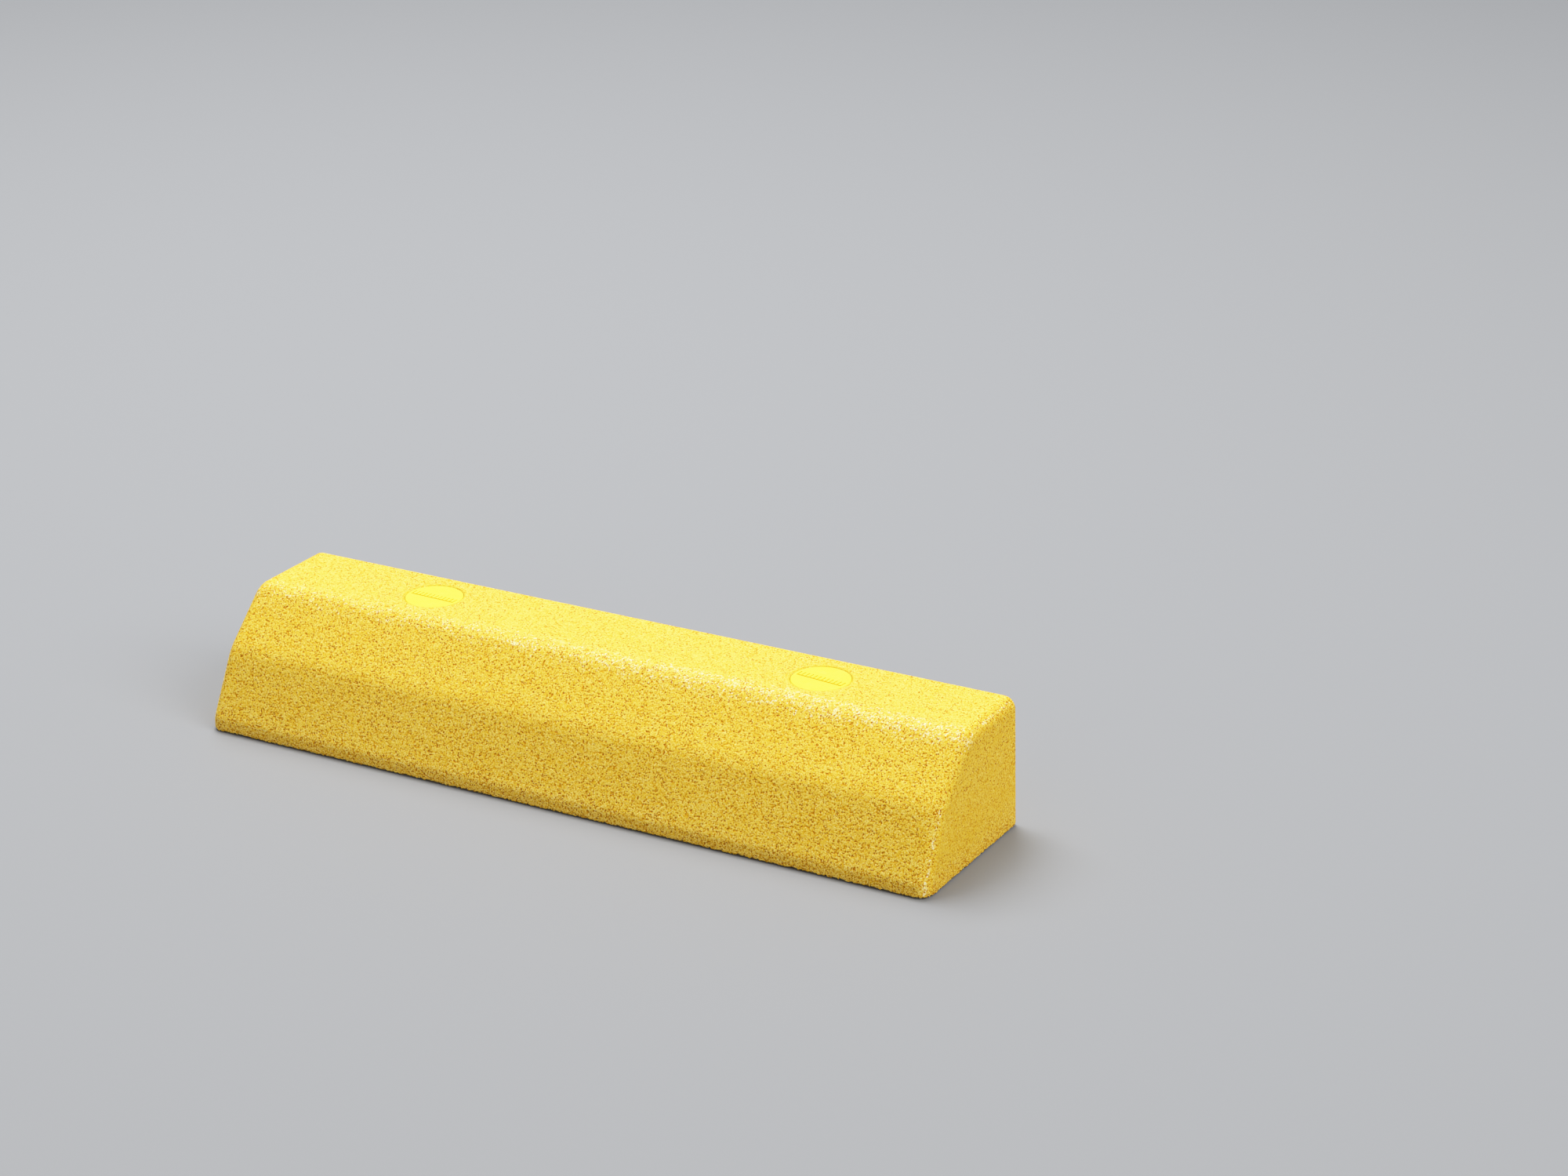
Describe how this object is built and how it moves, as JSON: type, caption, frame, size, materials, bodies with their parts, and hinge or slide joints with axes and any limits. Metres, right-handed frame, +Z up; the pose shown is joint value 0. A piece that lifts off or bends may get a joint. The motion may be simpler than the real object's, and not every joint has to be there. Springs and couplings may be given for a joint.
{
  "type": "parking wheel stop",
  "caption": "Bonded rubber granule wheel stop with a sloped front, capped bolt-down holes and steel fixings inside.",
  "frame": {"origin": "centre of the base, on the pavement", "axes": "+X along the length, -Y towards the arriving wheel, +Z up"},
  "size_m": [0.6, 0.138, 0.097],
  "materials": {
    "yellow_granules": "rough, pressed granules about 1.5 mm across with small dark pores",
    "yellow_plastic": "smooth satin moulding",
    "galvanised_steel": "dull zinc with faint spangle",
    "zinc_plated_steel": "bright zinc plating",
    "dark_spring_steel": "phosphated spring steel"
  },
  "bodies": {
    "block": {"granule_body": "yellow_granules", "cap_socket_left": "yellow_plastic", "spacer_tube_left": "galvanised_steel", "load_plate_left": "galvanised_steel", "flat_washer_left": "zinc_plated_steel", "spring_washer_left": "dark_spring_steel", "hex_nut_left": "zinc_plated_steel", "cap_socket_right": "yellow_plastic", "spacer_tube_right": "galvanised_steel", "load_plate_right": "galvanised_steel", "flat_washer_right": "zinc_plated_steel", "spring_washer_right": "dark_spring_steel", "hex_nut_right": "zinc_plated_steel"},
    "left_cap": {"cap_left": "yellow_plastic"},
    "right_cap": {"cap_right": "yellow_plastic"}
  },
  "joints": [
    {"name": "left_cap_lift", "type": "slide", "parent": "block", "child": "left_cap", "axis": [0, 0, 1], "range_m": [0, 0.03]},
    {"name": "right_cap_lift", "type": "slide", "parent": "block", "child": "right_cap", "axis": [0, 0, 1], "range_m": [0, 0.03]}
  ]
}
